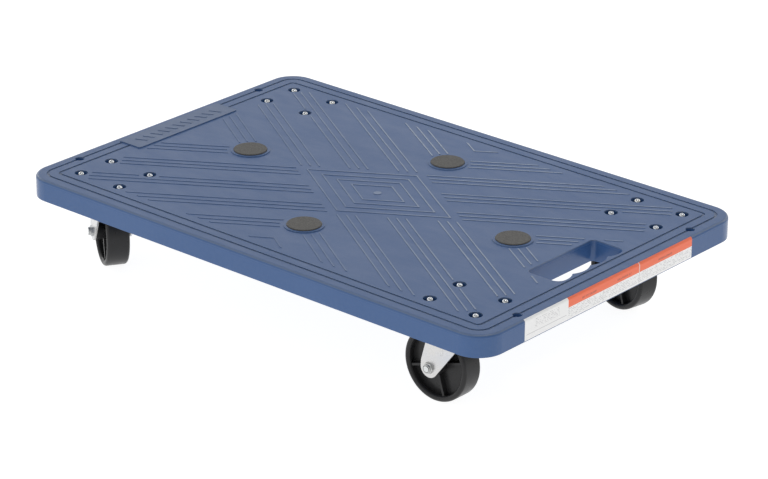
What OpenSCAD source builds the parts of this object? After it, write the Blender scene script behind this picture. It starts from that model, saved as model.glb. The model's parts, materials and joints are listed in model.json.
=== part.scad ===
// Plastic platform dolly on four swivel casters.
// Millimetres. Origin on the floor under the middle of the deck, +Z up,
// +X towards the end with the hand slot (the front), +Y to the left.

/* [Deck] */
// Length of the deck along X
deck_len = 600; // [560:10:640]
// Width of the deck along Y
deck_wid = 400; // [380:10:440]
// Height of the load surface above the floor
deck_top = 110; // [109:0.5:114]
// Depth of the skirt round the edge of the deck
skirt_h = 22.5; // [21.5:0.5:24]
// Radius of the corners seen from above
corner_r = 28; // [24:1:36]
// Radius of the top edge
edge_r = 3; // [2:0.5:3.5]
// Thickness of the load surface
plate_t = 4; // [3.5:0.5:4]
// Thickness of the skirt and of the wall round the hand slot
wall_t = 4; // [3:0.5:5]
// Thickness of the ribs under the deck
rib_t = 2.6; // [2:0.2:4]
// Depth of the ribs below the load surface
rib_h = 12; // [8:1:12]

/* [Deck pattern] */
// Width of the two grooves that follow the edge
groove_w = 2.8; // [2:0.2:3]
// Depth of the grooves
groove_d = 1; // [0.6:0.2:1.6]
// Width of the raised ridges
ridge_w = 1.4; // [1.2:0.2:2.4]
// Height of the raised ridges
ridge_h = 0.4; // [0.3:0.1:1]
// Rise of a diagonal ridge for each unit of length along X
ridge_slope = 0.64; // [0.6:0.01:0.68]

/* [Hand slot and cord holes] */
// Distance from the middle of the deck to the inner side of the hand slot
slot_x = 231.5; // [228:0.5:234]
// Depth of the hand slot along X, to the bottom of a finger scallop
slot_depth = 40.5; // [38:0.5:42]
// Length of the hand slot along Y
slot_len = 104; // [96:1:110]
// Distance between two finger scallops
scallop_pitch = 27; // [25:0.5:28]
// Depth of a finger scallop
scallop_d = 4; // [2:0.5:5]
// Diameter of the four cord holes
cord_hole_d = 9.6; // [8:0.2:10]
// Distance from the middle of the deck to the cord holes along Y
cord_hole_y = 134.3; // [130:0.1:138]

/* [Pads] */
// Diameter of the rubber pads
pad_d = 35; // [30:1:38]
// Height of the pads above the load surface
pad_proud = 2; // [1:0.5:3]
// Distance from the middle to the two pads on the long axis
pad_x = 174; // [170:1:178]
// Distance from the middle to the two pads on the short axis
pad_y = 109; // [106:1:112]

/* [Casters] */
// Distance from the middle to a swivel axis along X
caster_x = 231.5; // [229:0.5:233]
// Distance from the middle to a swivel axis along Y
caster_y = 138.4; // [136:0.1:140]
// Diameter of the wheels
wheel_d = 75; // [74:0.5:76]
// Width of the wheel tread
wheel_w = 24; // [22:0.5:25]
// Distance from the swivel axis back to the wheel axle
trail = 29; // [27:0.25:30]
// Distance between the mounting bolts along X
bolt_dx = 55; // [54:0.5:56]
// Distance between the mounting bolts along Y
bolt_dy = 43; // [42:0.5:44]
// Direction in which the front left wheel trails
heading_front_left = 170; // [0:1:359]
// Direction in which the front right wheel trails
heading_front_right = 180; // [0:1:359]
// Direction in which the rear left wheel trails
heading_rear_left = 172; // [0:1:359]
// Direction in which the rear right wheel trails
heading_rear_right = 147; // [0:1:359]

/* [Hidden] */

// A corner is [sign of X, sign of Y, direction in which its wheel trails]
front_left = [1, 1, heading_front_left];
front_right = [1, -1, heading_front_right];
rear_left = [-1, 1, heading_rear_left];
rear_right = [-1, -1, heading_rear_right];

// Overlap that joins or clears two solids without a shared face
eps = 0.01;
// Sides of a circle in the previews
round_fn = 96;
small_fn = 48;

// Heights on the deck
plate_z = deck_top - plate_t;
skirt_z = deck_top - skirt_h;

// The two grooves: how far their middle lines lie inside the edge, and their corner radii
groove_inset = [12.5, 24];
groove_corner = [15, 5];

// Ridges: offsets of the groups from the diagonal, and of the three ridges in a group
ridge_angle = atan(ridge_slope);
ridge_groups = [-108, -54, 0, 54, 108];
ridge_step = 10;
ridge_last = 152;
field_x = 257;
field_y = 165;
diamond_field = 72.5;
diamonds = [61.5, 48.5, 35.5, 23];
centre_mark_r = 4;

// Raised panel at the rear end
panel_x = [-292, -262];
panel_y = 73;
panel_h = 1;
// Slanted grip bars on the panel
bar_n = 11;
bar_pitch = 11;
bar_size = [13, 3];
bar_slant = 25;
bar_h = 0.4;

// Hand slot outline
slot_r_in = 5;
slot_r_out = 10;
slot_x_out = slot_x + slot_depth;
scallop_r = (pow(scallop_pitch / 2, 2) + pow(scallop_d, 2)) / (2 * scallop_d);

// Label on the front of the skirt
label_y = [-138.5, 120.5];
label_z = skirt_z + 0.6;
label_t = 0.3;
label_wrap = 70;

// Rubber pads
pad_gap = 0.2;
pad_recess = 1.4;
pad_bevel = 0.8;
pad_ring_w = 2.6;
pad_ring_h = 0.8;
stem_r = 4;
barb_r = 5.5;
barb_h = 4;

// Caster mounting (M4): cap nut in a counterbore, bolt and washer from below
cbore_r = 6.8;
cbore_d = 6;
cbore_floor = deck_top - cbore_d;
bolt_r = 2;
bolt_hole_r = 2.25;
bolt_head_w = 7;
bolt_head_h = 2.8;
washer_r = 4.5;
washer_t = 0.8;
bolt_len = 14;
cap_nut_w = 7;
cap_nut_hex_h = 3.6;
cap_nut_h = 7;
cap_nut_dome_r = 3.3;
cap_nut_bore = 4.8;
boss_r = 8;
boss_h = 9;
boss_z = plate_z - boss_h;

// Caster: top plate, ball race, crown
top_plate_l = 74;
top_plate_w = 62;
top_plate_r = 7;
top_plate_t = 2.5;
top_plate_z = boss_z - top_plate_t;
ball_r = 3;
ball_n = 18;
race_r = 19;
race_clear = 0.06;
ball_z = top_plate_z - 2.25;
crown_r = 25.8;
crown_t = 2.4;
crown_top = ball_z - 2.25;
lip_r_in = 26.6;
lip_r_out = 28.4;
bridge_t = 2.2;
bridge_z = crown_top - crown_t - bridge_t;

// Kingpin
king_r = 4;
king_clear = 0.06;
king_head_r = 7.5;
king_head_h = 2.4;
king_foot_h = 3;

// Fork legs
leg_in = 18;
leg_t = 2;
leg_out = leg_in + leg_t;
leg_end_r = 10;
bead_x = 14;
bead_r = 1.7;
bead_low = 56;

// Axle (M6), its lock nut, and the sleeve that the wheel turns on
axle_z = wheel_d / 2;
axle_r = 3;
axle_gap = 0.05;
axle_head_w = 10;
axle_head_h = 4;
lock_nut_w = 10;
lock_nut_hex_h = 2.4;
lock_nut_h = 4;
lock_nut_collar_r = 4.3;
lock_nut_recess = 1.2;
axle_end = 0.3;
sleeve_r = 5;
wheel_clear = 0.05;

// Wheel profile
shoulder_r = 3;
rim_r = 33.8;
hub_r = 9.5;
hub_half = 17.4;
web_half = 4;
lip_w = 1.6;
lip_step = 1.4;
spoke_n = 4;
spoke_turn = 17.5;
spoke_t = 2.4;
spoke_half = 9.5;

// ---- 2-D outlines -------------------------------------------------------

module rounded_rect(l, w, r) {
  square([l - 2 * r, w], center = true);
  square([l, w - 2 * r], center = true);
  for (sx = [-1, 1], sy = [-1, 1])
    translate([sx * (l / 2 - r), sy * (w / 2 - r)]) circle(r = r, $fn = round_fn);
}

module groove_ring(i) {
  l = deck_len - 2 * groove_inset[i];
  w = deck_wid - 2 * groove_inset[i];
  difference() {
    rounded_rect(l + groove_w, w + groove_w, groove_corner[i] + groove_w / 2);
    rounded_rect(l - groove_w, w - groove_w, groove_corner[i] - groove_w / 2);
  }
}

module panel_outline() {
  translate([(panel_x[0] + panel_x[1]) / 2, 0])
    rounded_rect(panel_x[1] - panel_x[0], 2 * panel_y, 2);
}

module panel_bars() {
  for (i = [0 : bar_n - 1])
    translate([(panel_x[0] + panel_x[1]) / 2, (i - (bar_n - 1) / 2) * bar_pitch])
      rotate(bar_slant) square(bar_size, center = true);
}

module slot_frame() {
  // Rounded rectangle with small corners inside and large corners outside
  half = slot_len / 2;
  translate([slot_x + slot_r_in, -half]) square([slot_depth - slot_r_in - slot_r_out, 2 * half]);
  translate([slot_x, -half + slot_r_in]) square([slot_r_in + eps, 2 * (half - slot_r_in)]);
  translate([slot_x_out - slot_r_out - eps, -half + slot_r_out])
    square([slot_r_out + eps, 2 * (half - slot_r_out)]);
  for (s = [-1, 1]) {
    translate([slot_x + slot_r_in, s * (half - slot_r_in)]) circle(r = slot_r_in, $fn = small_fn);
    translate([slot_x_out - slot_r_out, s * (half - slot_r_out)])
      circle(r = slot_r_out, $fn = small_fn);
  }
}

module slot_outline() {
  intersection() {
    slot_frame();
    union() {
      translate([slot_x - 1, -slot_len]) square([slot_depth - 10, 2 * slot_len]);
      for (k = [-1.5, -0.5, 0.5, 1.5])
        translate([slot_x_out - scallop_r, k * scallop_pitch]) circle(r = scallop_r, $fn = round_fn);
    }
  }
}

module slot_wall_outline() {
  translate([slot_x + slot_depth / 2, 0])
    rounded_rect(slot_depth + 2 * wall_t, slot_len + 2 * wall_t, slot_r_in + wall_t);
}

// ---- positions ----------------------------------------------------------

module at_each_caster() {
  for (sx = [-1, 1], sy = [-1, 1]) translate([sx * caster_x, sy * caster_y]) children();
}

module at_each_bolt() {
  for (sx = [-1, 1], sy = [-1, 1]) translate([sx * bolt_dx / 2, sy * bolt_dy / 2]) children();
}

module at_each_pad() {
  for (s = [-1, 1]) {
    translate([s * pad_x, 0]) children();
    translate([0, s * pad_y]) children();
  }
}

module at_each_cord_hole() {
  for (sx = [-1, 1], sy = [-1, 1])
    translate([sx * (deck_len / 2 - groove_inset[0]), sy * cord_hole_y]) children();
}

// Puts a caster piece at its corner of the deck
module at_corner(corner) {
  translate([corner[0] * caster_x, corner[1] * caster_y, 0]) children();
}

// Puts a swivelling piece at its corner, with local +X along the trail
module swivelled(corner) {
  at_corner(corner) rotate([0, 0, corner[2]]) children();
}

// ---- deck ---------------------------------------------------------------

// Section through the edge of the deck: outwards from the start of a corner, then up
module edge_section() {
  square([corner_r, skirt_h - edge_r]);
  square([corner_r - edge_r, skirt_h]);
  intersection() {
    translate([corner_r - edge_r, skirt_h - edge_r]) circle(r = edge_r, $fn = small_fn);
    translate([corner_r - edge_r, skirt_h - edge_r]) square([edge_r, edge_r]);
  }
}

// Solid of the deck's outside, with a round top edge
module deck_outside() {
  straight_l = deck_len - 2 * corner_r;
  straight_w = deck_wid - 2 * corner_r;
  translate([0, 0, skirt_z]) {
    translate([-straight_l / 2, -straight_w / 2, 0]) cube([straight_l, straight_w, skirt_h]);
    for (a = [0, 180]) rotate([0, 0, a]) {
      translate([straight_l / 2, straight_w / 2, 0])
        rotate([90, 0, 0]) linear_extrude(straight_w) edge_section();
      translate([-straight_l / 2, straight_w / 2, 0])
        rotate([90, 0, 90]) linear_extrude(straight_l) edge_section();
    }
    for (i = [0 : 3]) {
      sx = (i == 0 || i == 3) ? 1 : -1;
      sy = (i < 2) ? 1 : -1;
      translate([sx * straight_l / 2, sy * straight_w / 2, 0])
        rotate([0, 0, i * 90]) rotate_extrude(angle = 90, $fn = round_fn) edge_section();
    }
  }
}

// Raised ridges of one quarter of the deck, in the quarter where X and Y are positive
module ridge_lines() {
  for (group = ridge_groups, k = [-1, 0, 1])
    translate([0, group + k * ridge_step])
      rotate(ridge_angle) translate([0, -ridge_w / 2]) square([deck_len, ridge_w]);
  translate([0, ridge_last]) rotate(ridge_angle) translate([0, -ridge_w / 2]) square([60, ridge_w]);
}

module ridge_quarter() {
  diamond_x = diamond_field / ridge_slope;
  intersection() {
    ridge_lines();
    difference() {
      polygon([[diamond_x, 0], [field_x, 0], [field_x, field_y], [0, field_y], [0, diamond_field]]);
      translate([pad_x, 0]) circle(r = 24, $fn = small_fn);
      translate([0, pad_y]) circle(r = 24, $fn = small_fn);
      translate([caster_x, caster_y]) at_each_bolt() circle(r = 11, $fn = small_fn);
    }
  }
}

module diamond_outline(half_y) {
  half_x = half_y / ridge_slope;
  inner_y = half_y - ridge_w / cos(ridge_angle);
  inner_x = inner_y / ridge_slope;
  difference() {
    polygon([[half_x, 0], [0, half_y], [-half_x, 0], [0, -half_y]]);
    polygon([[inner_x, 0], [0, inner_y], [-inner_x, 0], [0, -inner_y]]);
  }
}

module ridges() {
  difference() {
    for (sx = [0, 1], sy = [0, 1])
      mirror([sx, 0]) mirror([0, sy]) ridge_quarter();
    translate([slot_x - 6, -slot_len / 2 - 5]) square([slot_depth + 6, slot_len + 10]);
  }
  for (half_y = diamonds) diamond_outline(half_y);
  circle(r = centre_mark_r, $fn = small_fn);
}

// Lattice of ribs under the load surface
module rib_lines() {
  for (x = [-261, -203, -145, -87, -29, 29, 87, 145, 203, 261])
    translate([x - rib_t / 2, -deck_wid / 2]) square([rib_t, deck_wid]);
  for (y = [-81, -27, 27, 81])
    translate([-deck_len / 2, y - rib_t / 2]) square([deck_len, rib_t]);
}

module ribs() {
  difference() {
    intersection() {
      rib_lines();
      rounded_rect(deck_len - wall_t, deck_wid - wall_t, corner_r - wall_t / 2);
    }
    at_each_caster() square([top_plate_l + 4, top_plate_w + 4], center = true);
  }
}

// What carries one caster: a frame, four bolt bosses, and a ring round the kingpin head
module caster_seat() {
  difference() {
    union() {
      difference() {
        rounded_rect(top_plate_l, top_plate_w, top_plate_r);
        rounded_rect(top_plate_l - 2 * rib_t, top_plate_w - 2 * rib_t, top_plate_r - rib_t);
      }
      square([top_plate_l - rib_t, rib_t], center = true);
      square([rib_t, top_plate_w - rib_t], center = true);
      circle(r = king_head_r + 1.5 + rib_t, $fn = small_fn);
      at_each_bolt() circle(r = boss_r, $fn = small_fn);
    }
    circle(r = king_head_r + 1.5, $fn = small_fn);
  }
}

module deck_added() {
  // Shell
  difference() {
    deck_outside();
    translate([0, 0, skirt_z - 1])
      linear_extrude(plate_z - skirt_z + 1)
        rounded_rect(deck_len - 2 * wall_t, deck_wid - 2 * wall_t, corner_r - wall_t);
  }
  // Wall round the hand slot
  translate([0, 0, skirt_z]) linear_extrude(plate_z - skirt_z + eps) slot_wall_outline();
  // Ribs, and the rings round the cord holes
  translate([0, 0, plate_z - rib_h]) linear_extrude(rib_h + eps) ribs();
  translate([0, 0, plate_z - 8])
    linear_extrude(8 + eps) at_each_cord_hole() circle(r = cord_hole_d / 2 + 3, $fn = small_fn);
  // Caster seats
  translate([0, 0, boss_z]) linear_extrude(boss_h + eps) at_each_caster() caster_seat();
  // Ridges, panel and pad rings on the load surface
  translate([0, 0, deck_top - eps]) {
    linear_extrude(ridge_h + eps) ridges();
    linear_extrude(pad_ring_h + eps)
      at_each_pad() circle(r = pad_d / 2 + pad_gap + pad_ring_w, $fn = small_fn);
  }
  translate([0, 0, deck_top - groove_d]) linear_extrude(panel_h + groove_d) panel_outline();
  translate([0, 0, deck_top + panel_h - eps]) linear_extrude(bar_h + eps) panel_bars();
}

module deck() {
  color([0.35, 0.43, 0.57])
  difference() {
    deck_added();
    // Grooves along the edge, which stop at the panel
    translate([0, 0, deck_top - groove_d])
      linear_extrude(groove_d + 1)
        difference() {
          for (i = [0, 1]) groove_ring(i);
          panel_outline();
        }
    // Hand slot and cord holes
    translate([0, 0, skirt_z - 1]) linear_extrude(skirt_h + 2) slot_outline();
    at_each_cord_hole()
      translate([0, 0, plate_z - 9]) cylinder(d = cord_hole_d, h = 20, $fn = small_fn);
    // Pad recesses and their stem holes
    at_each_pad() {
      translate([0, 0, deck_top - pad_recess])
        cylinder(r = pad_d / 2 + pad_gap, h = 10, $fn = small_fn);
      translate([0, 0, plate_z - 1]) cylinder(r = stem_r + 0.1, h = plate_t + 2, $fn = small_fn);
    }
    // Counterbores and bolt holes
    at_each_caster() at_each_bolt() {
      translate([0, 0, cbore_floor]) cylinder(r = cbore_r, h = cbore_d + 2, $fn = small_fn);
      translate([0, 0, boss_z - 1]) cylinder(r = bolt_hole_r, h = boss_h + 2, $fn = small_fn);
    }
    // Shallow seat of the label
    label_solid();
  }
}

// Strip on the front of the skirt that wraps over the top edge
module label_solid() {
  x = deck_len / 2;
  low = deck_top - edge_r;
  translate([0, label_y[1], 0]) rotate([90, 0, 0]) linear_extrude(label_y[1] - label_y[0]) {
    translate([x - label_t, label_z]) square([label_t, low - label_z + eps]);
    translate([x - edge_r, low]) intersection() {
      difference() {
        circle(r = edge_r, $fn = small_fn);
        circle(r = edge_r - label_t, $fn = small_fn);
      }
      polygon([[0, 0], [2 * edge_r, 0], [2 * edge_r, 2 * edge_r * tan(label_wrap)]]);
    }
  }
}

module label() {
  color("white") label_solid();
}

// Rubber disc with a stem and a barb that holds it in the deck
module pad(x, y) {
  seat = deck_top - pad_recess;
  top = deck_top + pad_proud;
  r = pad_d / 2;
  color([0.36, 0.35, 0.33])
  translate([x, y, 0]) rotate_extrude($fn = round_fn)
    polygon([
      [0, plate_z - barb_h], [stem_r - 1, plate_z - barb_h], [barb_r, plate_z - 0.5],
      [barb_r, plate_z - 0.05], [stem_r, plate_z - 0.05], [stem_r, seat],
      [r, seat], [r, top - pad_bevel], [r - pad_bevel, top], [0, top]
    ]);
}

// ---- caster pieces that stay with the deck ------------------------------

module top_plate(corner) {
  color([0.8, 0.81, 0.82])
  at_corner(corner) difference() {
    union() {
      translate([0, 0, top_plate_z])
        linear_extrude(top_plate_t) rounded_rect(top_plate_l, top_plate_w, top_plate_r);
      translate([0, 0, crown_top + 0.3])
        cylinder(r = lip_r_out, h = top_plate_z - crown_top - 0.3 + eps, $fn = round_fn);
    }
    translate([0, 0, crown_top])
      cylinder(r = lip_r_in, h = top_plate_z - crown_top, $fn = round_fn);
    translate([0, 0, ball_z]) race_groove();
    cylinder(r = king_r, h = deck_top, $fn = small_fn);
    at_each_bolt() cylinder(r = bolt_hole_r, h = deck_top, $fn = small_fn);
  }
}

// Ring in which the balls roll
module race_groove() {
  rotate_extrude($fn = round_fn)
    translate([race_r, 0]) circle(r = ball_r + race_clear, $fn = small_fn);
}

module balls(corner) {
  color([0.72, 0.73, 0.75])
  at_corner(corner)
    for (i = [0 : ball_n - 1])
      rotate([0, 0, i * 360 / ball_n]) translate([race_r, 0, ball_z]) sphere(r = ball_r, $fn = 32);
}

// Rivet on which the fork swivels
module kingpin(corner) {
  foot = bridge_z - king_clear;
  color([0.66, 0.67, 0.69])
  at_corner(corner) rotate_extrude($fn = small_fn)
    polygon([
      [0, foot - king_foot_h], [king_head_r - 1.5, foot - king_foot_h], [king_head_r, foot - 1.2],
      [king_head_r, foot], [king_r, foot], [king_r, boss_z], [king_head_r, boss_z],
      [king_head_r, boss_z + 1], [king_head_r - 1.2, boss_z + king_head_h],
      [0, boss_z + king_head_h]
    ]);
}

// Hexagonal prism, with the given width across its flats
module hex(w, h) {
  cylinder(d = w / cos(30), h = h, $fn = 6);
}

// Hexagonal bolt head with a rounded top: the prism meets a shallow cone
module hex_head(w, h, dome) {
  intersection() {
    hex(w, h);
    rotate_extrude($fn = small_fn)
      polygon([[0, 0], [w, 0], [w / cos(30) / 2 + 0.1, h - dome * 1.6], [w * 0.36, h], [0, h]]);
  }
}

module bolts(corner) {
  color([0.8, 0.81, 0.82])
  at_corner(corner) at_each_bolt() translate([0, 0, top_plate_z - washer_t]) {
    rotate([180, 0, 0]) hex_head(bolt_head_w, bolt_head_h, 0.5);
    translate([0, 0, -eps]) cylinder(r = bolt_r, h = bolt_len + eps, $fn = small_fn);
  }
}

module washers(corner) {
  color([0.78, 0.79, 0.8])
  at_corner(corner) at_each_bolt()
    translate([0, 0, top_plate_z - washer_t]) difference() {
      cylinder(r = washer_r, h = washer_t, $fn = small_fn);
      translate([0, 0, -1]) cylinder(r = bolt_hole_r, h = washer_t + 2, $fn = small_fn);
    }
}

// Half section of a cylinder with a round top
module dome_section(r, h) {
  square([r, h - r]);
  translate([0, h - r]) intersection() {
    circle(r = r, $fn = small_fn);
    square([r, r]);
  }
}

module cap_nuts(corner) {
  color([0.85, 0.86, 0.87])
  at_corner(corner) at_each_bolt() translate([0, 0, cbore_floor]) difference() {
    union() {
      hex_head(cap_nut_w, cap_nut_hex_h, 0.5);
      rotate_extrude($fn = small_fn) dome_section(cap_nut_dome_r, cap_nut_h);
    }
    translate([0, 0, -1]) cylinder(r = bolt_r + 0.03, h = cap_nut_bore + 1, $fn = small_fn);
  }
}

// ---- caster pieces that swivel ------------------------------------------

// Outline of a fork leg seen from its side: local X along the trail, then height
module leg_outline() {
  translate([trail, axle_z]) circle(r = leg_end_r, $fn = small_fn);
  polygon([
    [trail + leg_end_r, axle_z], [trail + leg_end_r - 0.3, axle_z + 6], [31, 72], [27, 81],
    [20, crown_top - crown_t], [-17, crown_top - crown_t], [-17, 82],
    [trail - leg_end_r * 0.84, axle_z - leg_end_r * 0.56]
  ]);
}

// Folded sheet seen along the trail: two legs under a bridge, with round bends
module yoke_section() {
  bend = 4;
  top = crown_top - crown_t;
  difference() {
    union() {
      translate([-leg_out, 0]) square([2 * leg_out, top - bend]);
      translate([-leg_out + bend, 0]) square([2 * (leg_out - bend), top]);
      for (s = [-1, 1]) translate([s * (leg_out - bend), top - bend]) circle(r = bend, $fn = small_fn);
    }
    translate([-leg_in, -1]) square([2 * leg_in, top - bend + 1]);
    translate([-leg_out + bend, -1]) square([2 * (leg_out - bend), bridge_z + 1]);
    for (s = [-1, 1])
      translate([s * (leg_out - bend), top - bend]) circle(r = bend - leg_t, $fn = small_fn);
  }
}

module fork(corner) {
  crown_low = crown_top - crown_t;
  color([0.83, 0.84, 0.85])
  swivelled(corner) difference() {
    union() {
      intersection() {
        translate([-60, 0, 0]) rotate([90, 0, 90]) linear_extrude(120) yoke_section();
        translate([0, 40, 0]) rotate([90, 0, 0]) linear_extrude(80) leg_outline();
      }
      translate([0, 0, crown_low]) cylinder(r = crown_r, h = crown_t, $fn = round_fn);
      // Stiffening bead pressed into each leg
      for (s = [-1, 1]) translate([bead_x, s * (leg_out - 0.7), 0]) {
        translate([0, 0, bead_low]) cylinder(r = bead_r, h = bridge_z - bead_low, $fn = small_fn);
        translate([0, 0, bead_low]) sphere(r = bead_r, $fn = small_fn);
      }
    }
    translate([0, 0, ball_z]) race_groove();
    translate([0, 0, bridge_z - 1])
      cylinder(r = king_r + king_clear, h = crown_top - bridge_z + 2, $fn = small_fn);
    translate([trail, 0, axle_z]) rotate([90, 0, 0])
      cylinder(r = axle_r + axle_gap, h = 60, center = true, $fn = small_fn);
  }
}

// Turns a piece built along +Z so that it lies along the axle, towards local +Y
module along_axle(corner) {
  swivelled(corner) translate([trail, 0, axle_z]) rotate([-90, 0, 0]) children();
}

module axle(corner) {
  color([0.8, 0.81, 0.82])
  along_axle(corner) {
    translate([0, 0, -leg_out]) rotate([180, 0, 0]) hex_head(axle_head_w, axle_head_h, 0.9);
    translate([0, 0, -leg_out - eps])
      cylinder(r = axle_r, h = 2 * leg_out + lock_nut_h + axle_end, $fn = small_fn);
  }
}

// Lock nut: a hexagon under a round collar, which is hollow round the end of the axle
module axle_nut(corner) {
  color([0.76, 0.77, 0.79])
  along_axle(corner) translate([0, 0, leg_out]) difference() {
    union() {
      hex_head(lock_nut_w, lock_nut_hex_h, 0.4);
      cylinder(r = lock_nut_collar_r, h = lock_nut_h, $fn = small_fn);
    }
    translate([0, 0, -1]) cylinder(r = axle_r + 0.03, h = lock_nut_h + 2, $fn = small_fn);
    translate([0, 0, lock_nut_h - lock_nut_recess])
      cylinder(r = axle_r + 0.7, h = lock_nut_recess + 1, $fn = small_fn);
  }
}

module sleeve(corner) {
  color([0.6, 0.61, 0.62])
  along_axle(corner) difference() {
    cylinder(r = sleeve_r, h = 2 * leg_in, center = true, $fn = small_fn);
    cylinder(r = axle_r + axle_gap, h = 2 * leg_in + 2, center = true, $fn = small_fn);
  }
}

// ---- wheel --------------------------------------------------------------

// Half section of the wheel: distance from the axle, then along it
module wheel_section() {
  r = wheel_d / 2;
  half = wheel_w / 2;
  difference() {
    union() {
      translate([rim_r, -half + shoulder_r]) square([r - rim_r, wheel_w - 2 * shoulder_r]);
      translate([rim_r, -half]) square([r - rim_r - shoulder_r, wheel_w]);
      for (s = [-1, 1])
        translate([r - shoulder_r, s * (half - shoulder_r)]) circle(r = shoulder_r, $fn = small_fn);
      // Inside of the rim, set back from the face
      translate([rim_r - lip_w, -half + lip_step]) square([lip_w + eps, wheel_w - 2 * lip_step]);
      translate([sleeve_r, -web_half]) square([rim_r - sleeve_r, 2 * web_half]);
      translate([sleeve_r, -hub_half]) square([hub_r - sleeve_r, 2 * hub_half]);
    }
    translate([0, -hub_half - 1]) square([sleeve_r + wheel_clear, 2 * hub_half + 2]);
  }
}

module wheel(corner) {
  color([0.13, 0.13, 0.14])
  along_axle(corner) union() {
    rotate_extrude($fn = round_fn) wheel_section();
    for (i = [0 : spoke_n - 1]) rotate([0, 0, spoke_turn + i * 360 / spoke_n])
      translate([hub_r - 1, -spoke_t / 2, -spoke_half]) cube([rim_r - hub_r, spoke_t, 2 * spoke_half]);
  }
}

// ---- one line for each node ---------------------------------------------

deck();
label();
pad(pad_x, 0);  // pad_front
pad(-pad_x, 0);  // pad_rear
pad(0, pad_y);  // pad_left
pad(0, -pad_y);  // pad_right
top_plate(front_left);  // top_plate_front_left
top_plate(front_right);  // top_plate_front_right
top_plate(rear_left);  // top_plate_rear_left
top_plate(rear_right);  // top_plate_rear_right
kingpin(front_left);  // kingpin_front_left
kingpin(front_right);  // kingpin_front_right
kingpin(rear_left);  // kingpin_rear_left
kingpin(rear_right);  // kingpin_rear_right
balls(front_left);  // balls_front_left
balls(front_right);  // balls_front_right
balls(rear_left);  // balls_rear_left
balls(rear_right);  // balls_rear_right
bolts(front_left);  // bolts_front_left
bolts(front_right);  // bolts_front_right
bolts(rear_left);  // bolts_rear_left
bolts(rear_right);  // bolts_rear_right
washers(front_left);  // washers_front_left
washers(front_right);  // washers_front_right
washers(rear_left);  // washers_rear_left
washers(rear_right);  // washers_rear_right
cap_nuts(front_left);  // cap_nuts_front_left
cap_nuts(front_right);  // cap_nuts_front_right
cap_nuts(rear_left);  // cap_nuts_rear_left
cap_nuts(rear_right);  // cap_nuts_rear_right
fork(front_left);  // fork_front_left
fork(front_right);  // fork_front_right
fork(rear_left);  // fork_rear_left
fork(rear_right);  // fork_rear_right
axle(front_left);  // axle_front_left
axle(front_right);  // axle_front_right
axle(rear_left);  // axle_rear_left
axle(rear_right);  // axle_rear_right
axle_nut(front_left);  // axle_nut_front_left
axle_nut(front_right);  // axle_nut_front_right
axle_nut(rear_left);  // axle_nut_rear_left
axle_nut(rear_right);  // axle_nut_rear_right
sleeve(front_left);  // sleeve_front_left
sleeve(front_right);  // sleeve_front_right
sleeve(rear_left);  // sleeve_rear_left
sleeve(rear_right);  // sleeve_rear_right
wheel(front_left);  // wheel_front_left
wheel(front_right);  // wheel_front_right
wheel(rear_left);  // wheel_rear_left
wheel(rear_right);  // wheel_rear_right
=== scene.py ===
"""Looks of a plastic platform dolly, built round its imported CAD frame.

Metres, +Z up, origin on the floor under the middle of the deck, +X towards
the end with the hand slot.
"""
import json
import math

import bpy
from mathutils import Matrix, Vector


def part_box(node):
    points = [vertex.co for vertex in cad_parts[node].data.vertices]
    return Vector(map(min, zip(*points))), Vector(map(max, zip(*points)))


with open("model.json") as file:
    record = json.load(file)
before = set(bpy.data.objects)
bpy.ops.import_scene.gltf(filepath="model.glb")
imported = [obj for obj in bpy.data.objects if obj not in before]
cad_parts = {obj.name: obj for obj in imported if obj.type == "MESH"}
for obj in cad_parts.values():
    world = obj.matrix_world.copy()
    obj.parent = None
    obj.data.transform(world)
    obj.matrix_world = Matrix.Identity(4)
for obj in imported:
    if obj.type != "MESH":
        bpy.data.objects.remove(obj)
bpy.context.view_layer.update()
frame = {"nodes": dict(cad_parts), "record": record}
nodes = frame["nodes"]

MM = 0.001
CORNERS = ("front_left", "front_right", "rear_left", "rear_right")


# ---- camera ----------------------------------------------------------------

VIEW_AZIMUTH = math.radians(40.82)
VIEW_ELEVATION = math.radians(23.28)
VIEW_ROLL = math.radians(0.425)
VIEW_TARGET = Vector((0.0171, -0.0094, 0.0675))
VIEW_DISTANCE = 3.266
VIEW_LENS = 153.15
SENSOR_WIDTH = 36.0


def make_camera():
    back = Vector((math.sin(VIEW_AZIMUTH) * math.cos(VIEW_ELEVATION),
                   -math.cos(VIEW_AZIMUTH) * math.cos(VIEW_ELEVATION),
                   math.sin(VIEW_ELEVATION)))
    right = Vector((math.cos(VIEW_AZIMUTH), math.sin(VIEW_AZIMUTH), 0.0))
    up = back.cross(right)
    cos_roll = math.cos(VIEW_ROLL)
    sin_roll = math.sin(VIEW_ROLL)
    rolled_right = cos_roll * right + sin_roll * up
    rolled_up = cos_roll * up - sin_roll * right
    data = bpy.data.cameras.new("camera")
    data.lens = VIEW_LENS
    data.sensor_width = SENSOR_WIDTH
    data.sensor_fit = "HORIZONTAL"
    data.clip_start = 0.05
    data.clip_end = 50.0
    camera = bpy.data.objects.new("camera", data)
    bpy.context.scene.collection.objects.link(camera)
    axes = Matrix((rolled_right, rolled_up, back)).transposed().to_4x4()
    camera.matrix_world = Matrix.Translation(VIEW_TARGET + VIEW_DISTANCE * back) @ axes
    bpy.context.scene.camera = camera


make_camera()


# ---- node helpers ----------------------------------------------------------

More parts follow.
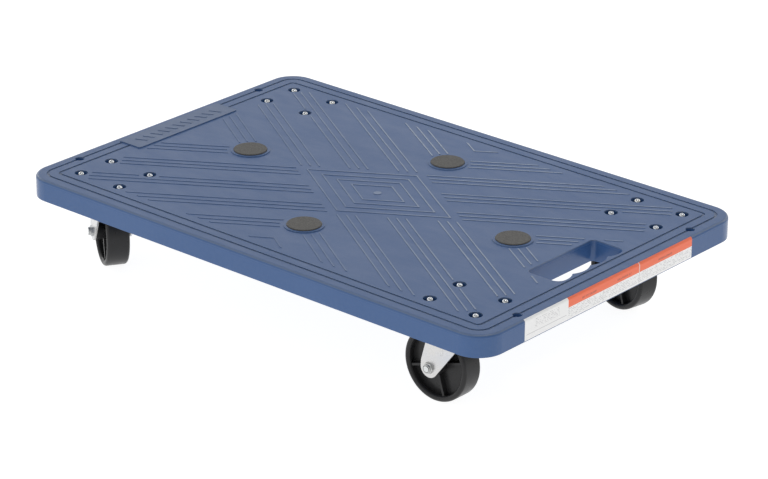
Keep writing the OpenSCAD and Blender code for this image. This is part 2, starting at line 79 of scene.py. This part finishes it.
class Shader:
    """A material and short calls that add nodes to it."""

    def __init__(self, name):
        self.material = bpy.data.materials.new(name)
        self.material.use_nodes = True
        self.tree = self.material.node_tree
        self.bsdf = self.tree.nodes["Principled BSDF"]

    def link(self, value, socket):
        if isinstance(value, bpy.types.NodeSocket):
            self.tree.links.new(value, socket)
        else:
            socket.default_value = value

    def place(self):
        return self.tree.nodes.new("ShaderNodeTexCoord").outputs["Object"]

    def split(self, vector):
        node = self.tree.nodes.new("ShaderNodeSeparateXYZ")
        self.link(vector, node.inputs[0])
        return node.outputs

    def stretched(self, factors):
        node = self.tree.nodes.new("ShaderNodeVectorMath")
        node.operation = "MULTIPLY"
        self.link(self.place(), node.inputs[0])
        node.inputs[1].default_value = factors
        return node.outputs[0]

    def noise(self, scale, detail=2.0, rough=0.5, vector=None):
        node = self.tree.nodes.new("ShaderNodeTexNoise")
        self.link(vector or self.place(), node.inputs["Vector"])
        node.inputs["Scale"].default_value = scale
        node.inputs["Detail"].default_value = detail
        node.inputs["Roughness"].default_value = rough
        return node.outputs["Fac"]

    def cells(self, scale, vector=None):
        node = self.tree.nodes.new("ShaderNodeTexVoronoi")
        self.link(vector or self.place(), node.inputs["Vector"])
        node.inputs["Scale"].default_value = scale
        return node.outputs["Distance"]

    def math(self, operation, a, b=0.0, c=0.0, clamp=False):
        node = self.tree.nodes.new("ShaderNodeMath")
        node.operation = operation
        node.use_clamp = clamp
        self.link(a, node.inputs[0])
        self.link(b, node.inputs[1])
        self.link(c, node.inputs[2])
        return node.outputs[0]

    def between(self, value, low, high):
        above = self.math("GREATER_THAN", value, low)
        below = self.math("LESS_THAN", value, high)
        return self.math("MULTIPLY", above, below)

    def remap(self, value, low, high, to_low, to_high):
        node = self.tree.nodes.new("ShaderNodeMapRange")
        node.clamp = True
        self.link(value, node.inputs["Value"])
        node.inputs["From Min"].default_value = low
        node.inputs["From Max"].default_value = high
        node.inputs["To Min"].default_value = to_low
        node.inputs["To Max"].default_value = to_high
        return node.outputs[0]

    def mix(self, factor, a, b):
        node = self.tree.nodes.new("ShaderNodeMix")
        node.data_type = "RGBA"
        first, second = [s for s in node.inputs if s.type == "RGBA"]
        self.link(factor, node.inputs["Factor"])
        self.link(colour(a), first)
        self.link(colour(b), second)
        return next(s for s in node.outputs if s.type == "RGBA")

    def bump(self, height, distance, strength=1.0, normal=None):
        node = self.tree.nodes.new("ShaderNodeBump")
        self.link(height, node.inputs["Height"])
        node.inputs["Distance"].default_value = distance
        node.inputs["Strength"].default_value = strength
        if normal is not None:
            self.link(normal, node.inputs["Normal"])
        return node.outputs["Normal"]

    def edge_mask(self, radius):
        """1 where a rounded normal leaves the true one, so along edges; 0 on flat faces."""
        rounded = self.tree.nodes.new("ShaderNodeBevel")
        rounded.samples = 4
        rounded.inputs["Radius"].default_value = radius
        true_normal = self.tree.nodes.new("ShaderNodeNewGeometry").outputs["Normal"]
        node = self.tree.nodes.new("ShaderNodeVectorMath")
        node.operation = "DOT_PRODUCT"
        self.link(rounded.outputs[0], node.inputs[0])
        self.link(true_normal, node.inputs[1])
        return self.remap(node.outputs["Value"], 0.99, 0.85, 0.0, 1.0)

    def set(self, **inputs):
        sockets = {s.name.lower().replace(" ", "_"): s for s in self.bsdf.inputs}
        for name, value in inputs.items():
            self.link(value, sockets[name])
        return self.material


def colour(value):
    """Adds alpha to a colour of three numbers; leaves a socket as it is."""
    if isinstance(value, (tuple, list)) and len(value) == 3:
        return (*value, 1.0)
    return value


# ---- materials -------------------------------------------------------------

DECK_BLUE = (0.032, 0.096, 0.255)
DECK_BLUE_PALE = (0.040, 0.106, 0.270)
DECK_BLUE_MOTTLE = (0.10, 0.17, 0.32)
EDGE_WEAR_AND_HIGHLIGHT = (0.17, 0.25, 0.40)
CREST_PAINTED_HIGHLIGHT = (0.31, 0.37, 0.47)
DECK_PAINTED_SHEEN = (0.14, 0.19, 0.29)
PANEL_GREY = (0.15, 0.18, 0.23)
# How far the pads stand above the load surface
PAD_RISE = 2 * MM
DECK_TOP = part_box("pad_front")[1].z - PAD_RISE
# Bands of height on the deck that the painted highlight, the painted sheen, the panel, the
# skirt and the painted shade on the pad rims follow
GROOVES = (DECK_TOP - 1.2 * MM, DECK_TOP - 0.1 * MM)
RIDGE_FEET = (DECK_TOP + 0.03 * MM, DECK_TOP + 0.20 * MM)
RIDGE_CRESTS = (DECK_TOP + 0.20 * MM, DECK_TOP + 0.65 * MM)
PANEL_HEIGHT = DECK_TOP + 0.9 * MM
SKIRT_TOP = (DECK_TOP - 4 * MM, DECK_TOP - 2 * MM)
PAD_RIM = (DECK_TOP + 1.0 * MM, DECK_TOP + 1.7 * MM)


def moulded_plastic():
    """Blue polypropylene: slight mottling, fine spark-eroded grain, edges partly rubbed and
    partly painted as highlights, painted highlights on the ridge crests and painted sheen in
    the grooves.
    """
    m = Shader("moulded_plastic")
    clouds = m.noise(9.0, detail=3.0)
    mottle = m.noise(240.0, detail=2.0)
    flow = m.noise(1.0, detail=4.0, vector=m.stretched((30.0, 90.0, 60.0)))
    base = m.mix(m.remap(clouds, 0.35, 0.65, 0.0, 1.0), DECK_BLUE, DECK_BLUE_PALE)
    base = m.mix(m.remap(mottle, 0.3, 0.7, 0.0, 0.10), base, DECK_BLUE_MOTTLE)
    # Wear and painted highlight: the edges are painted paler
    base = m.mix(m.math("MULTIPLY", m.edge_mask(0.0012), 0.25), base, EDGE_WEAR_AND_HIGHLIGHT)
    # Painted highlight: the crests of the ridges are painted pale, and made smooth, least in
    # the rear right quarter
    place = m.split(m.place())
    crest = m.between(place["Z"], *RIDGE_CRESTS)
    across = m.math("MULTIPLY_ADD", place["Y"], 1.5, place["X"])
    crest_highlight_share = m.remap(across, -0.20, 0.14, 0.12, 1.0)
    crest_highlight_share = m.math("MULTIPLY", crest_highlight_share, m.remap(m.noise(5.0, detail=2.0), 0.38, 0.60, 0.45, 1.0))
    crest_highlight = m.math("MULTIPLY", crest, crest_highlight_share)
    base = m.mix(m.math("MULTIPLY", crest_highlight, 0.75), base, CREST_PAINTED_HIGHLIGHT)
    # Painted sheen: the grooves and the feet of the ridges are painted paler, filling their
    # shade
    groove = m.between(place["Z"], *GROOVES)
    foot = m.between(place["Z"], *RIDGE_FEET)
    painted_sheen = m.math("MULTIPLY", m.math("ADD", groove, foot), 0.7)
    base = m.mix(painted_sheen, base, DECK_PAINTED_SHEEN)
    # The raised panel is rubbed greyer all over
    panel = m.math("GREATER_THAN", place["Z"], PANEL_HEIGHT)
    base = m.mix(m.math("MULTIPLY", panel, 0.30), base, PANEL_GREY)
    # The skirt is smoother than the load surface
    skirt = m.remap(place["Z"], *SKIRT_TOP, 0.62, 1.0)
    rough = m.math("MULTIPLY", m.remap(flow, 0.3, 0.7, 0.34, 0.42), skirt)
    rough = m.math("SUBTRACT", rough, m.math("MULTIPLY", crest_highlight, 0.10))
    normal = m.bump(m.noise(2600.0, detail=1.0), 0.00005, 0.5)
    normal = m.bump(m.noise(60.0, detail=1.0), 0.0005, 0.2, normal)
    return m.set(base_color=base, roughness=rough, normal=normal, ior=1.49)


def zinc(name, base, roughness, brushed=(1.0, 1.0, 1.0)):
    """Zinc plating: faint spangle, fine drawing marks, a trace of blue and yellow."""
    m = Shader(name)
    spangle = m.cells(420.0)
    tint = m.noise(35.0, detail=3.0)
    pale = tuple(min(1.0, c * f) for c, f in zip(base, (1.04, 1.03, 1.00)))
    cool = tuple(min(1.0, c * f) for c, f in zip(base, (0.94, 0.97, 1.02)))
    tone = m.mix(m.remap(tint, 0.35, 0.65, 0.0, 1.0), cool, pale)
    marks = m.noise(900.0, detail=2.0, vector=m.stretched(brushed))
    rough = m.math("ADD", m.remap(spangle, 0.0, 0.6, -0.04, 0.05),
                   m.remap(marks, 0.3, 0.7, roughness - 0.04, roughness + 0.06))
    normal = m.bump(marks, 0.00004, 0.4)
    normal = m.bump(m.noise(120.0, detail=1.0), 0.0003, 0.15, normal)
    return m.set(base_color=tone, metallic=1.0, roughness=rough, normal=normal)


WHEEL_BLACK = (0.023, 0.023, 0.024)
WHEEL_DUSTY = (0.038, 0.037, 0.036)


def wheel_plastic():
    """Hard black plastic with a fine grain, dulled by dust on the tread."""
    m = Shader("wheel_plastic")
    dust = m.remap(m.noise(45.0, detail=4.0), 0.4, 0.75, 0.0, 0.25)
    base = m.mix(dust, WHEEL_BLACK, WHEEL_DUSTY)
    rough = m.remap(m.noise(130.0, detail=3.0), 0.3, 0.7, 0.26, 0.38)
    normal = m.bump(m.noise(1500.0, detail=2.0), 0.00005, 0.5)
    return m.set(base_color=base, roughness=rough, normal=normal, ior=1.46,
                 specular_ior_level=0.3)


PAD_DARK = (0.078, 0.076, 0.070)
PAD_PALE = (0.125, 0.122, 0.114)
PAD_CORK = (0.060, 0.057, 0.052)
PAD_RIM_PAINTED_SHADE = (0.030, 0.029, 0.027)


def pad_rubber():
    """Grey-brown rubber with ground cork in it, with painted shade round its rim."""
    m = Shader("pad_rubber")
    crumbs = m.remap(m.cells(900.0), 0.1, 0.6, 0.0, 1.0)
    speckle = m.remap(m.noise(700.0, detail=3.0), 0.42, 0.62, 0.0, 1.0)
    base = m.mix(speckle, PAD_DARK, PAD_PALE)
    base = m.mix(m.math("MULTIPLY", crumbs, 0.35), base, PAD_CORK)
    # Painted shade: the rim of a pad is painted darker than its top
    rim = m.remap(m.split(m.place())["Z"], *PAD_RIM, 0.7, 0.0)
    base = m.mix(rim, base, PAD_RIM_PAINTED_SHADE)
    height = m.math("ADD", crumbs, speckle)
    return m.set(base_color=base, roughness=0.6, normal=m.bump(height, 0.00008, 0.6))


LABEL_LOW, LABEL_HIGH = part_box("label")
LABEL_DEPTH = LABEL_HIGH.z - LABEL_LOW.z
# Places on the label, as shares of its length and of its height
PLAIN_FIELD_END = 0.25
FIELD_EDGES = (0.455, 0.673)
BAND_FOOT = 0.56
PRINT_ROWS = 13.0
BAR_STARTS = (0.33, 0.54, 0.79)
BAR_LENGTH = 0.085
BAND_ORANGE = (0.95, 0.185, 0.085)
BAR_BROWN = (0.20, 0.06, 0.05)
INK_GREY = (0.22, 0.22, 0.24)
PAPER = ((0.94, 0.94, 0.94), (0.98, 0.98, 0.975))
GAP_GREY = (0.8, 0.8, 0.8)


def label_film():
    """White vinyl sticker in four fields: one plain, and three under an orange band.

    The print stands for small text: rows of short grey rules, and plain bars in the band.
    """
    m = Shader("label_film")
    place = m.split(m.place())
    along = m.remap(place["Y"], LABEL_LOW.y, LABEL_HIGH.y, 0.0, 1.0)
    up = m.remap(place["Z"], LABEL_LOW.z, LABEL_HIGH.z, 0.0, 1.0)
    coloured = m.math("GREATER_THAN", along, PLAIN_FIELD_END)
    band = m.math("MULTIPLY", coloured, m.math("GREATER_THAN", up, BAND_FOOT))
    # Rules in rows, broken up by noise that is stretched along the row
    row = m.between(m.math("FRACT", m.math("MULTIPLY", up, PRINT_ROWS)), 0.25, 0.7)
    words = m.noise(1.0, 1.0, vector=m.stretched((1.0, 420.0, PRINT_ROWS / LABEL_DEPTH)))
    ink = m.math("MULTIPLY", row, m.remap(words, 0.46, 0.54, 0.0, 1.0))
    small_print = m.math("MULTIPLY", coloured, m.between(up, 0.10, 0.52))
    data_block = m.math("MULTIPLY", m.between(along, 0.055, 0.20), m.between(up, 0.42, 0.84))
    ink = m.math("MULTIPLY", ink, m.math("ADD", small_print, data_block))
    base_line = m.math("MULTIPLY", m.between(along, 0.01, 0.24), m.between(up, 0.24, 0.27))
    edges = [m.between(along, at - 0.0015, at + 0.0015) for at in FIELD_EDGES]
    low_edges = m.math("MULTIPLY", m.math("ADD", *edges), m.math("LESS_THAN", up, BAND_FOOT))
    ink = m.math("MAXIMUM", ink, m.math("MAXIMUM", base_line, low_edges))
    paper = m.mix(m.noise(30.0), *PAPER)
    printed = m.mix(m.math("MULTIPLY", ink, 0.42), paper, INK_GREY)
    # Plain bars in the band, one in each field
    bars = [m.between(along, at, at + BAR_LENGTH) for at in BAR_STARTS]
    bar = m.math("ADD", bars[0], m.math("ADD", bars[1], bars[2]))
    bar = m.math("MULTIPLY", bar, m.between(up, 0.66, 0.76))
    bar = m.math("MULTIPLY", bar, m.remap(words, 0.40, 0.50, 0.3, 1.0))
    orange = m.mix(m.math("MULTIPLY", bar, 0.45), BAND_ORANGE, BAR_BROWN)
    gap = m.between(along, 0.671, 0.676)
    orange = m.mix(m.math("MULTIPLY", gap, 0.7), orange, GAP_GREY)
    printed = m.mix(band, printed, orange)
    return m.set(base_color=printed, roughness=0.32, ior=1.45,
                 normal=m.bump(m.noise(90.0, detail=1.0), 0.0002, 0.3))


FINISHES = {
    "deck_plastic": moulded_plastic(),
    "label_film": label_film(),
    "pad_rubber": pad_rubber(),
    "zinc_sheet": zinc("zinc_sheet", (0.50, 0.51, 0.52), 0.36),
    "fork_zinc": zinc("fork_zinc", (0.64, 0.64, 0.65), 0.27),
    "bolt_zinc": zinc("bolt_zinc", (0.66, 0.68, 0.70), 0.20),
    "nut_zinc": zinc("nut_zinc", (0.50, 0.51, 0.52), 0.32),
    "rivet_steel": zinc("rivet_steel", (0.52, 0.53, 0.54), 0.38),
    "ball_steel": zinc("ball_steel", (0.62, 0.63, 0.65), 0.12),
    "wheel_plastic": wheel_plastic(),
}
SLOT_OF = {part["node"]: part["material_slot"] for part in frame["record"]["subparts"]}


# ---- CAD nodes: materials and softened edges -------------------------------

# Width of the softened edge, in millimetres, by the kind of node
EDGE_WIDTH = {
    "deck": 0.35, "pad": 0.4, "top_plate": 0.35, "kingpin": 0.3, "bolts": 0.25,
    "washers": 0.12, "cap_nuts": 0.25, "fork": 0.5, "axle": 0.3, "axle_nut": 0.3,
    "wheel": 0.7,
}
DISSOLVE_ANGLE = math.radians(0.6)
EDGE_ANGLE = math.radians(28)


def kind_of(node):
    for ending in CORNERS + ("front", "rear", "left", "right"):
        if node.endswith("_" + ending):
            return node[:-len(ending) - 1]
    return node


def soften(piece, width):
    """Joins flat facets, then rounds the sharp edges."""
    flat = piece.modifiers.new("join_facets", "DECIMATE")
    flat.decimate_type = "DISSOLVE"
    flat.angle_limit = DISSOLVE_ANGLE
    bevel = piece.modifiers.new("round_edges", "BEVEL")
    bevel.width = width * MM
    bevel.segments = 2
    bevel.limit_method = "ANGLE"
    bevel.angle_limit = EDGE_ANGLE
    bevel.harden_normals = True
    bevel.use_clamp_overlap = True


for name, piece in nodes.items():
    piece.data.materials.clear()
    piece.data.materials.append(FINISHES[SLOT_OF[name]])
    for face in piece.data.polygons:
        face.use_smooth = True
    if kind_of(name) in EDGE_WIDTH:
        soften(piece, EDGE_WIDTH[kind_of(name)])


# ---- floor, lights and world -----------------------------------------------

FLOOR_SIZE = 14.0
# A little light of its own keeps the floor as white as the background
FLOOR_GREY = (0.30, 0.30, 0.30, 1.0)
FLOOR_GLOW = 0.93
WHITE = (1, 1, 1, 1)


def make_floor():
    mesh = bpy.data.meshes.new("floor")
    half = FLOOR_SIZE / 2
    mesh.from_pydata([(-half, -half, 0), (half, -half, 0), (half, half, 0), (-half, half, 0)],
                     [], [(0, 1, 2, 3)])
    floor = bpy.data.objects.new("floor", mesh)
    bpy.context.scene.collection.objects.link(floor)
    m = Shader("floor_white")
    m.set(base_color=FLOOR_GREY, roughness=0.9, emission_color=WHITE,
          emission_strength=FLOOR_GLOW, specular_ior_level=0.0)
    mesh.materials.append(m.material)


def make_area_light(name, place, target, size, power):
    data = bpy.data.lights.new(name, "AREA")
    data.shape = "RECTANGLE"
    data.size, data.size_y = size
    data.energy = power
    light = bpy.data.objects.new(name, data)
    bpy.context.scene.collection.objects.link(light)
    light.location = place
    direction = Vector(target) - Vector(place)
    light.rotation_euler = direction.to_track_quat("-Z", "Y").to_euler()


# Brightness of the studio by height: sine of the elevation, then the radiance
SKY = ((0.0, 0.84), (0.39, 1.16), (0.70, 0.54), (1.0, 0.18))
# The studio is darker towards +X: share of the radiance on the two sides
SKY_SIDES = (1.0, 0.5)
# Where that change starts and ends, as the X part of the direction
SKY_TURN = (-0.1, 0.9)


def make_world():
    world = bpy.data.worlds.new("studio")
    world.use_nodes = True
    tree = world.node_tree
    direction = tree.nodes.new("ShaderNodeTexCoord").outputs["Generated"]
    split = tree.nodes.new("ShaderNodeSeparateXYZ")
    tree.links.new(direction, split.inputs[0])
    ramp = tree.nodes.new("ShaderNodeValToRGB")
    tree.links.new(split.outputs["Z"], ramp.inputs[0])
    for stop, (height, radiance) in zip(stops(ramp, len(SKY)), SKY):
        stop.position = height
        stop.color = (radiance, radiance, radiance, 1.0)
    side = tree.nodes.new("ShaderNodeMapRange")
    tree.links.new(split.outputs["X"], side.inputs["Value"])
    side.inputs["From Min"].default_value, side.inputs["From Max"].default_value = SKY_TURN
    side.inputs["To Min"].default_value, side.inputs["To Max"].default_value = SKY_SIDES
    background = tree.nodes["Background"]
    tree.links.new(ramp.outputs[0], background.inputs["Color"])
    tree.links.new(side.outputs[0], background.inputs["Strength"])
    bpy.context.scene.world = world


def stops(ramp, count):
    elements = ramp.color_ramp.elements
    while len(elements) < count:
        elements.new(1.0)
    return elements


make_floor()
make_world()
make_area_light("front", (0.2, -2.9, 1.3), (0, 0, 0.08), (1.6, 1.2), 2.8)
make_area_light("overhead", (0.25, 0.30, 1.8), (0.1, 0.1, 0.1), (0.6, 0.6), 5.0)
make_area_light("back", (-3.0, 1.1, 1.1), (0, 0, 0.1), (1.0, 0.7), 7.0)
make_area_light("back_right", (0.9, 3.2, 1.5), (0.1, 0, 0.1), (1.0, 0.7), 7.0)

bpy.context.scene.view_settings.view_transform = "Standard"
